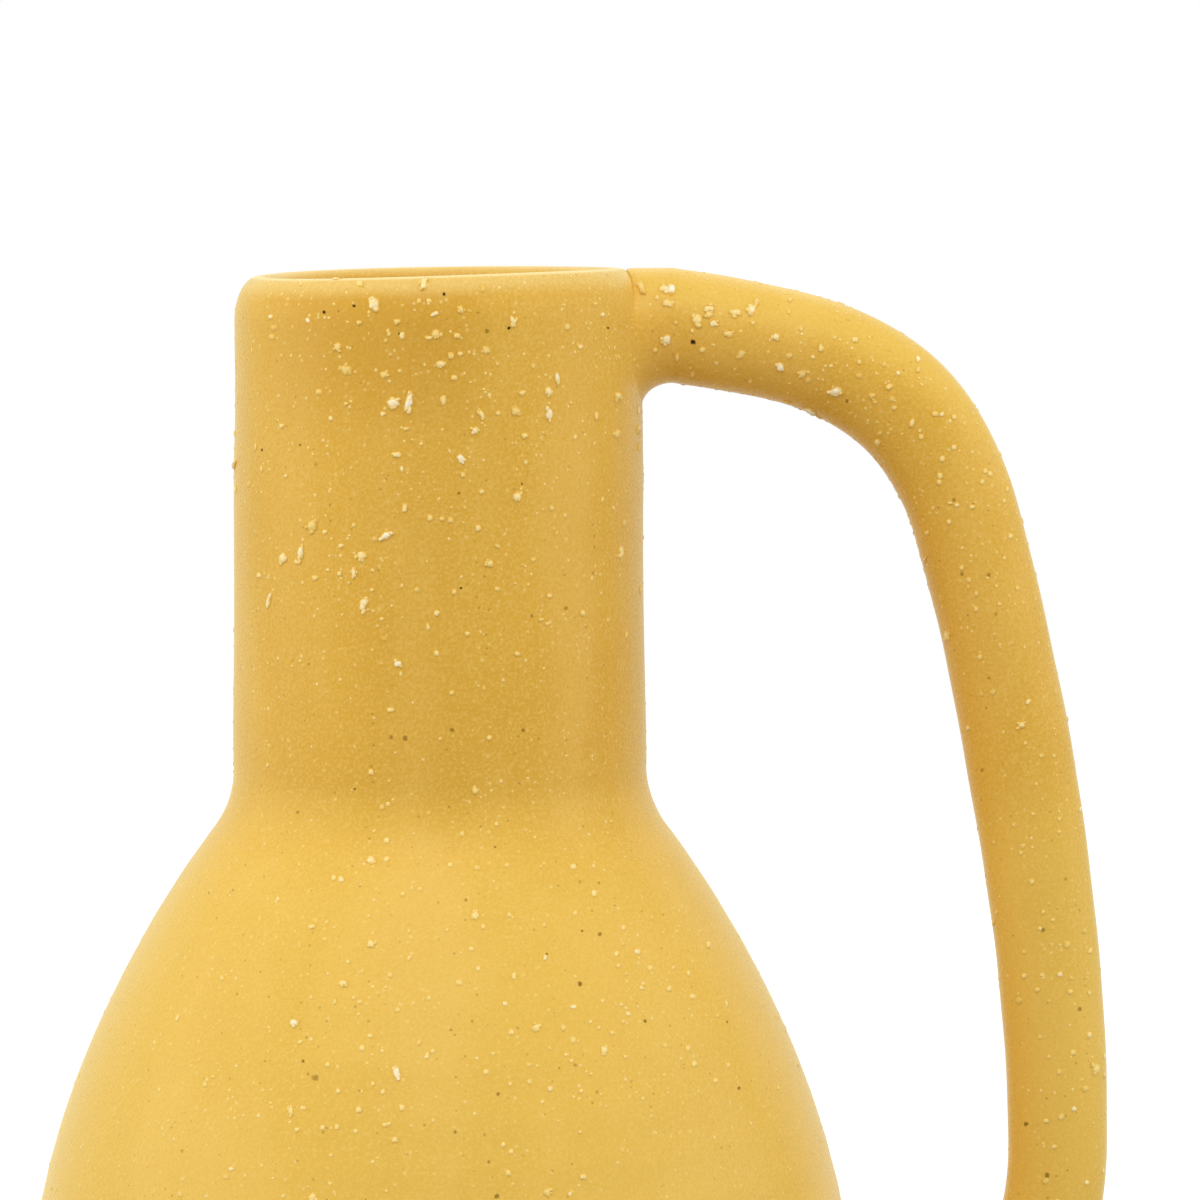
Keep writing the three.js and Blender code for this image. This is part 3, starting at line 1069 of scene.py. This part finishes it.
# Pixel x, pixel y, length, width, degrees that the length is turned from level
long_grains = (
    (424, 284, 10, 7, 90), (461, 310, 9, 5, 115), (435, 314, 9, 4, 25), (402, 336, 8, 5, 90),
    (429, 338, 7, 4, 170), (513, 321, 9, 6, 110), (440, 364, 9, 6, 15), (393, 403, 13, 9, 20),
    (409, 402, 16, 7, 75), (444, 399, 9, 5, 90), (522, 393, 7, 5, 20), (548, 391, 8, 6, 80),
    (557, 378, 10, 5, 90), (549, 414, 11, 6, 85), (481, 414, 10, 5, 110), (475, 431, 8, 6, 100),
    (397, 455, 8, 6, 0), (461, 458, 10, 6, 130), (406, 429, 6, 4, 0), (308, 320, 6, 4, 120),
    (252, 351, 7, 2, 90), (331, 418, 6, 4, 110), (256, 447, 9, 3, 85), (262, 469, 7, 3, 90),
    (402, 469, 7, 3, 90), (596, 416, 8, 4, 90), (602, 315, 6, 4, 0), (619, 357, 6, 2, 90),
    (405, 508, 8, 5, 90), (386, 536, 11, 6, 20), (301, 553, 13, 5, 90), (283, 558, 11, 6, 80),
    (297, 562, 6, 4, 150), (259, 575, 7, 5, 0), (354, 573, 10, 5, 100), (269, 600, 15, 4, 75),
    (364, 605, 12, 7, 65), (437, 613, 7, 5, 60), (428, 627, 7, 4, 90), (401, 674, 6, 3, 90),
    (517, 497, 11, 7, 60), (497, 546, 7, 3, 150), (478, 528, 7, 5, 110), (481, 492, 6, 5, 45),
    (621, 553, 11, 6, 80), (626, 635, 7, 3, 80), (602, 500, 7, 3, 75), (391, 710, 8, 4, 0),
    (312, 927, 8, 4, 10), (475, 916, 9, 6, 70), (410, 958, 6, 4, 45), (545, 958, 5, 4, 90),
    (618, 966, 5, 4, 40), (514, 976, 7, 5, 90), (573, 1007, 7, 4, 0), (478, 969, 6, 4, 90),
    (427, 1056, 7, 4, 60), (623, 1022, 5, 4, 135), (486, 1072, 6, 5, 110), (594, 893, 8, 5, 90),
    (650, 968, 7, 5, 160), (688, 973, 6, 4, 90), (726, 1003, 7, 3, 110), (178, 1018, 8, 4, 70),
    (300, 1042, 6, 4, 40), (360, 1002, 5, 4, 0), (335, 1002, 6, 3, 70), (397, 1073, 10, 7, 110),
    (291, 1111, 9, 5, 85), (303, 1108, 7, 4, 165), (359, 1110, 7, 5, 90), (395, 1140, 6, 5, 90),
    (231, 1169, 5, 4, 40), (667, 304, 10, 7, 0), (677, 357, 9, 4, 80), (709, 309, 10, 6, 0),
    (714, 324, 8, 6, 0), (702, 350, 7, 5, 0), (736, 313, 10, 7, 0), (751, 310, 10, 8, 70),
    (728, 334, 9, 6, 0), (776, 337, 8, 6, 20), (641, 286, 10, 6, 110), (756, 304, 6, 4, 60),
    (801, 329, 5, 3, 120), (821, 348, 8, 5, 90), (813, 357, 5, 4, 90), (802, 374, 8, 6, 20),
    (780, 367, 8, 7, 0), (836, 391, 13, 8, 5), (833, 387, 4, 3, 90), (918, 359, 6, 4, 110),
    (918, 370, 6, 4, 80), (898, 373, 5, 4, 90), (889, 387, 7, 6, 40), (912, 423, 10, 4, 75),
    (878, 442, 7, 5, 110), (954, 447, 6, 5, 90), (990, 474, 7, 4, 100), (1007, 489, 6, 4, 90),
    (950, 503, 5, 3, 0), (957, 505, 5, 4, 0),
    (972, 507, 6, 4, 10), (949, 522, 5, 5, 45), (927, 533, 5, 4, 90), (1028, 702, 6, 4, 60),
    (1021, 725, 8, 6, 20), (968, 728, 5, 4, 90), (997, 912, 5, 4, 90), (1060, 974, 6, 5, 110),
    (1090, 951, 6, 4, 60), (1074, 1109, 5, 4, 90),
)

# Grains that stand out of the vase's outline. Pixel x, pixel y, length, width, degrees
proud_grains = (
    (336, 279, 7, 4, 0), (235, 434, 7, 4, 90), (235, 465, 12, 6, 80), (236, 489, 7, 4, 90),
    (638, 410, 8, 4, 90), (638, 429, 9, 5, 90), (639, 446, 9, 4, 80), (640, 590, 8, 4, 90),
    (788, 402, 8, 4, 160), (810, 410, 14, 6, 155), (819, 417, 8, 4, 150), (925, 560, 7, 4, 75),
    (994, 923, 7, 4, 80), (1080, 809, 6, 4, 80), (1104, 1056, 7, 4, 90), (1104, 1075, 6, 4, 90),
    (1103, 1171, 6, 4, 90), (777, 1016, 7, 4, 65), (798, 1065, 7, 5, 65), (898, 500, 6, 4, 70),
)

# Pixel x, pixel y, width
faint_grains = (
    (384, 375, 7), (346, 370, 9), (486, 350, 7), (515, 411, 8), (436, 334, 8), (483, 289, 6),
    (272, 337, 6), (274, 328, 6), (319, 392, 6), (497, 364, 4), (533, 366, 5), (567, 327, 6),
    (617, 434, 8), (313, 526, 10), (362, 556, 9), (375, 539, 5), (315, 578, 6), (385, 639, 5),
    (551, 508, 6), (533, 560, 5), (624, 523, 6), (497, 589, 5), (249, 484, 6), (382, 807, 5),
    (462, 834, 5), (477, 868, 6), (412, 888, 4), (420, 889, 5), (471, 949, 5), (429, 998, 5),
    (529, 1065, 5), (529, 1082, 5), (573, 1040, 6), (563, 1028, 6), (688, 1048, 6), (665, 1045, 5),
    (728, 1065, 5), (200, 1060, 4), (226, 1177, 6), (180, 1194, 6), (741, 354, 7), (692, 374, 5),
    (790, 300, 5), (884, 364, 5), (859, 376, 6), (808, 380, 6), (789, 356, 6), (892, 399, 6),
    (947, 636, 8), (980, 657, 6), (969, 580, 5), (976, 609, 5), (968, 587, 4), (1054, 756, 4),
    (1023, 846, 5), (981, 694, 5), (993, 692, 6), (1067, 945, 6), (1085, 931, 5), (1019, 1001, 6),
    (1096, 1069, 8), (1059, 1072, 5), (1085, 1089, 6), (1061, 1117, 6), (1046, 1181, 6),
)

# Specks of iron, by how dark they are. Pixel x, pixel y, width
black_iron = (
    (444, 294, 4), (354, 306, 4), (400, 334, 4), (262, 450, 3), (608, 328, 3), (693, 342, 6),
    (461, 588, 3), (324, 312, 4), (509, 328, 4),
)
brown_iron = (
    (300, 445, 3), (522, 484, 3), (523, 730, 4), (355, 789, 3), (388, 802, 3), (495, 847, 3),
    (303, 1061, 4), (645, 1021, 4), (582, 931, 3), (547, 954, 3), (727, 1022, 3), (739, 1088, 4),
    (487, 331, 5), (1026, 1124, 5), (1047, 1175, 6), (459, 493, 4), (580, 984, 5),
)
faint_iron = (
    (459, 783, 3), (408, 781, 3), (237, 994, 3), (497, 1196, 6), (466, 900, 4), (600, 934, 5),
    (472, 1021, 3), (451, 1030, 3), (575, 1065, 4), (559, 1068, 3), (498, 1094, 4), (597, 1092, 4),
    (580, 882, 4), (599, 883, 3), (316, 1078, 7), (308, 1074, 3), (265, 1061, 3), (323, 1132, 4),
    (182, 1151, 4), (489, 1162, 4), (455, 1132, 4), (316, 464, 4), (309, 664, 3), (566, 608, 5),
    (532, 616, 4), (594, 573, 4), (391, 737, 5), (405, 738, 6), (452, 730, 5), (366, 827, 3),
    (298, 812, 4), (209, 893, 3), (233, 890, 3), (327, 1128, 3), (847, 401, 4), (954, 500, 4),
    (973, 504, 3), (962, 574, 4), (989, 575, 5), (962, 546, 3), (996, 614, 4), (982, 770, 4),
    (1066, 879, 4), (1043, 930, 5), (1080, 1009, 5), (989, 678, 4),
)

# The share of a lump's width that shows pale, and how much longer than in the picture it may lie on a slope.
grain_shown = 0.75
iron_shown = 0.9
most_laid = 1.5

# How pale the grains of each list are, and their height as a share of their half width.
round_pale, round_steepness = 0.74, 0.42
long_pale, long_steepness = 0.76, 0.42
faint_pale, faint_steepness = 0.5, 0.3
proud_pale, proud_steepness = 0.9, 0.5
pale_scatter = 0.1
height_scatter = (0.8, 1.2)

# How dark the specks of iron are, which lie almost flat.
black, brown, faint = 1.1, 0.55, 0.2
iron_steepness = 0.1

# Wide grains are whiter, and those wider than this many pixels have crumbs at their edge.
usual_width = 5
whiter_with_width = 0.05
widest_single = 6.5
crumbs = 3
crumb_share = (0.35, 0.6)
crumb_distance = (0.6, 0.95)
crumb_height = 0.8
crumb_dulling = 0.15


def seen_on_skin(skins, pixel_x, pixel_y):
    """Where the camera's ray through a pixel meets the vase, the way the skin faces there, and the ray."""
    middle = picture_width / 2
    ray = view_ahead + (view_right * (pixel_x - middle) + view_up * (middle - pixel_y)) / picture_focal
    hits = [skin.ray_cast(Vector(eye * MM), Vector(ray)) for skin in skins]
    place, facing = min((hit for hit in hits if hit[0]), key=lambda hit: hit[3], default=(None,) * 4)[:2]
    if place is None:
        return None
    facing = np.array(facing)
    return np.array(place) / MM, -facing * np.sign(facing @ ray), ray


def laid_on_skin(half, facing, ray):
    """A half length in the picture's plane, moved along the ray until it lies on the skin."""
    laid = half - ray * (half @ facing) / (ray @ facing)
    return laid * min(1, most_laid * np.linalg.norm(half) / np.linalg.norm(laid))


def seen_lumps(rows, pale, steepness, random, shown):
    """Places, half lengths, half widths, heights and paleness of lumps that are given by their pixels."""
    depsgraph = bpy.context.evaluated_depsgraph_get()
    skins = [BVHTree.FromObject(piece, depsgraph) for piece in (neck, belly, handle, upper_blend)]
    found = []
    for pixel_x, pixel_y, length, width, tilt in rows:
        seen = seen_on_skin(skins, pixel_x, pixel_y)
        if seen is None:
            continue
        place, facing, ray = seen
        size = (place - eye) @ view_ahead / picture_focal / 2 / shown
        along = math.cos(math.radians(tilt)) * view_right + math.sin(math.radians(tilt)) * view_up
        aside = np.cross(along, view_ahead)
        first = laid_on_skin(along * length * size, facing, ray)
        second = laid_on_skin(aside * width * size, facing, ray)
        mean_width = math.sqrt(length * width)
        tall = steepness * size * mean_width * random.uniform(*height_scatter)
        own_pale = pale + random.normal(0, pale_scatter) + whiter_with_width * (mean_width - usual_width)
        found.append((place, first, second, facing * tall, own_pale))
        for _ in range(crumbs if mean_width > widest_single else 0):
            turn = random.uniform(0, 2 * math.pi)
            share = random.uniform(*crumb_share)
            offset = (math.cos(turn) * first + math.sin(turn) * second) * random.uniform(*crumb_distance)
            found.append((place + offset, first * share, second * share, facing * tall * crumb_height,
                          own_pale - crumb_dulling))
    return found


def as_rows(rounds):
    return [(x, y, width, width, 0) for x, y, width in rounds]


def seen_grains():
    random = np.random.default_rng(seen_seed)
    found = seen_lumps(as_rows(round_grains), round_pale, round_steepness, random, grain_shown)
    found += seen_lumps(long_grains, long_pale, long_steepness, random, grain_shown)
    found += seen_lumps(as_rows(faint_grains), faint_pale, faint_steepness, random, grain_shown)
    found += seen_lumps(proud_grains, proud_pale, proud_steepness, random, grain_shown)
    lumps("seen_grog", *(np.array(column) for column in zip(*found)), random)
    found = []
    for specks, darkness in ((black_iron, black), (brown_iron, brown), (faint_iron, faint)):
        found += seen_lumps(as_rows(specks), darkness, iron_steepness, random, iron_shown)
    lumps("seen_iron", *(np.array(column) for column in zip(*found)), random, iron_finish)


# The rest of the grains are scattered. On the side that faces the camera they stay small and dull.

vessel_along = length_along(outer_outline)
small_grain = 0.36
dull_grain = 0.75

# The surfaces are felt out by this step, and round them by its share of a usual radius. In millimetres.
feeling_step = 0.3
usual_radius = 30

stretch_spread = 0.32
grain_heights = (0.16, 0.32)
cluster_share = 0.22
cluster_spread = 1.0

# Grains' half widths in millimetres: the middle one, their spread as a logarithm, and the widest.
neck_sizes = (0.4, 0.38, 1.0)
belly_sizes = (0.36, 0.33, 0.85)
handle_sizes = (0.42, 0.36, 1.0)
iron_sizes = (0.3, 0.3, 0.6)
least_size = 0.2

neck_grains, neck_grain_pale = 900, 0.55
belly_grains, belly_grain_pale = 1500, 0.5
handle_grains, handle_grain_pale = 620, 0.6
vessel_specks = 280
handle_specks = 80
scattered_pale_spread = 0.25
usual_grain = 0.4
dullest_grain = 0.1

# In millimetres along each surface: the ends that stay free of grains or of iron, and where the grains
# get denser up the neck and sparser down the handle.
vessel_end = 3
handle_end = 2
iron_end = 3
iron_rim_end = 12
neck_crowding = (10, 50)
sparsest_on_neck = 0.3
handle_thinning = (60, 120)
lost_down_handle = 0.6


def vessel_points(along, angle):
    """Points on the vessel's skin, by the distance up its outline and the angle round it."""
    radius = np.interp(along, vessel_along, outer_outline[:, 0])
    height = np.interp(along, vessel_along, outer_outline[:, 1])
    return hand_shaped(np.column_stack([radius * np.cos(angle), radius * np.sin(angle), height]))


def frames_on(surface, along, angle, side):
    """Places on a surface with two directions along it and its normal, which side turns outwards."""
    place = surface(along, angle)
    up = surface(along + feeling_step, angle) - surface(along - feeling_step, angle)
    turn = feeling_step / usual_radius
    round_it = surface(along, angle + turn) - surface(along, angle - turn)
    up /= np.linalg.norm(up, axis=1)[:, None]
    normal = np.cross(round_it, up) * side
    normal /= np.linalg.norm(normal, axis=1)[:, None]
    across = np.cross(up, normal)
    return place, across, up, normal


def toward_camera(place, normal):
    """More than 0 where a skin faces the camera, and less where it faces away."""
    return ((eye - place) * normal).sum(axis=1)


def scattered_lumps(name, surface, along, angle, size, pale, random, side=1, finish=grain_finish):
    place, across, up, normal = frames_on(surface, along, angle, side)
    in_front = toward_camera(place, normal) > 0
    size = np.where(in_front, np.minimum(size, small_grain), size)
    pale = np.where(in_front, np.minimum(pale, dull_grain), pale)
    count = len(along)
    turn = random.uniform(0, 2 * math.pi, count)
    stretch = np.sqrt(1 + np.abs(random.normal(0, stretch_spread, count)))
    first = (np.cos(turn)[:, None] * across + np.sin(turn)[:, None] * up) * (size * stretch)[:, None]
    second = (np.cos(turn)[:, None] * up - np.sin(turn)[:, None] * across) * (size / stretch)[:, None]
    third = normal * (size * random.uniform(*grain_heights, count))[:, None]
    lumps(name, place, first, second, third, pale, random, finish)


def scattered(random, count, low, high, crowd):
    """Distances along and angles round a surface, as crowded as crowd says, with some in clusters."""
    along, angle = [], []
    while len(along) < count:
        distance = random.uniform(low, high)
        turn = random.uniform(0, 2 * math.pi)
        if random.uniform() > crowd(distance):
            continue
        along.append(distance)
        angle.append(turn)
        if random.uniform() < cluster_share:
            along.append(np.clip(distance + random.normal(0, cluster_spread), low, high))
            angle.append(turn + random.normal(0, cluster_spread) / usual_radius)
    return np.array(along), np.array(angle)


def grain_sizes(random, count, middle, spread, most):
    return np.clip(np.exp(random.normal(math.log(middle), spread, count)), least_size, most)


def scattered_grog(name, surface, stretch, crowd, count, sizes, paleness, random, side=1):
    """Grains on a stretch of a surface. The larger ones are paler."""
    along, angle = scattered(random, count, *stretch, crowd)
    size = grain_sizes(random, len(along), *sizes)
    pale = random.normal(paleness, scattered_pale_spread, len(along)) + (size - usual_grain)
    scattered_lumps(name, surface, along, angle, size, np.clip(pale, dullest_grain, 1), random, side)


def vessel_grog():
    """Grains crowd towards the rim on the neck, and lie evenly over the belly."""
    random = np.random.default_rng(vessel_seed)
    neck_start = float(np.interp(neck_foot, outer_outline[:, 1], vessel_along))
    widest = outer_outline[:, 0].max()

    def neck_crowd(distance):
        from_foot = smooth_step(neck_start + neck_crowding[0], neck_start + neck_crowding[1], distance)
        return sparsest_on_neck + (1 - sparsest_on_neck) * from_foot

    def belly_crowd(distance):
        return np.interp(distance, vessel_along, outer_outline[:, 0]) / widest

    scattered_grog("neck_grog", vessel_points, (neck_start, vessel_along[-1] - vessel_end), neck_crowd,
                   neck_grains, neck_sizes, neck_grain_pale, random)
    scattered_grog("belly_grog", vessel_points, (vessel_end, neck_start), belly_crowd,
                   belly_grains, belly_sizes, belly_grain_pale, random)


def handle_grog():
    """Grains thin out down the handle."""
    def crowd(distance):
        return 1 - lost_down_handle * smooth_step(*handle_thinning, distance)

    scattered_grog("handle_grog", coil_points, (handle_end, coil_length - handle_end), crowd,
                   handle_grains, handle_sizes, handle_grain_pale, np.random.default_rng(handle_seed), -1)


def scattered_iron():
    """Specks of iron on the sides that the photograph doesn't show."""
    random = np.random.default_rng(iron_seed)
    for name, surface, count, length, side in (
        ("vessel_iron", vessel_points, vessel_specks, vessel_along[-1] - iron_rim_end, 1),
        ("handle_iron", coil_points, handle_specks, coil_length - iron_end, -1),
    ):
        along = random.uniform(iron_end, length, count)
        angle = random.uniform(0, 2 * math.pi, count)
        place, _, _, normal = frames_on(surface, along, angle, side)
        hidden = toward_camera(place, normal) < 0
        size = grain_sizes(random, hidden.sum(), *iron_sizes)
        darkness = random.choice((black, brown, faint, faint, faint), hidden.sum())
        scattered_lumps(name, surface, along[hidden], angle[hidden], size, darkness, random, side,
                        iron_finish)


seen_grains()
vessel_grog()
handle_grog()
scattered_iron()


# Floor and light. Both floor and world look white, and the floor still shows the vase's shadow.

white = (1, 1, 1, 1)
floor_radius = 1.4
floor_sides = 96
floor_grey = (0.45, 0.45, 0.45, 1)
floor_roughness = 0.9
floor_glow = 0.68
world_light = 0.66


def floor():
    piece = new_ring("floor", floor_sides, "NGON", floor_radius)
    finish = Finish("floor_white", floor_roughness, 0)
    finish.shader.inputs["Base Color"].default_value = floor_grey
    glow = finish.node("ShaderNodeEmission", None,
                       {"Color": white, "Strength": finish.looked_at() * floor_glow})
    shaded = Value(finish, finish.shader.outputs[0])
    both = finish.node("ShaderNodeAddShader", None, {0: shaded, 1: glow})
    finish.tree.links.new(both.socket, finish.tree.nodes["Material Output"].inputs[0])
    piece.data.materials.append(finish.material)


def white_world():
    """White to the camera and in reflections, and a soft light of its own strength on the rest."""
    world = bpy.data.worlds.new("world")
    bpy.context.scene.world = world
    world.use_nodes = True
    sky = Nodes(world.node_tree)
    background = sky.tree.nodes["Background"]
    background.inputs["Color"].default_value = white
    strength = sky.between(sky.looked_at(), 0, 1, world_light, 1)
    sky.tree.links.new(strength.socket, background.inputs["Strength"])


lamp_target = Vector((0.02, 0, 0.17))

# Each lamp has its place and width in metres and its power in watts.
lamps = {
    "lamp_back_top": ((0.0, 1.0, 1.2), 1.2, 2.5),
    "lamp_front_top": ((-0.15, -0.95, 1.3), 0.9, 7.2),
    "lamp_left": ((-1.35, -0.2, 0.5), 1.3, 6.3),
    "lamp_right": ((1.4, -0.2, 0.5), 1.3, 5.7),
}


def soft_lamps():
    for name, (place, width, power) in lamps.items():
        data = bpy.data.lights.new(name, "AREA")
        data.shape = "DISK"
        data.size = width
        data.energy = power
        lamp = bpy.data.objects.new(name, data)
        lamp.location = place
        lamp.rotation_euler = (lamp_target - Vector(place)).to_track_quat("-Z", "Y").to_euler()
        bpy.context.scene.collection.objects.link(lamp)


floor()
white_world()
soft_lamps()

bpy.context.scene.view_settings.view_transform = "Standard"
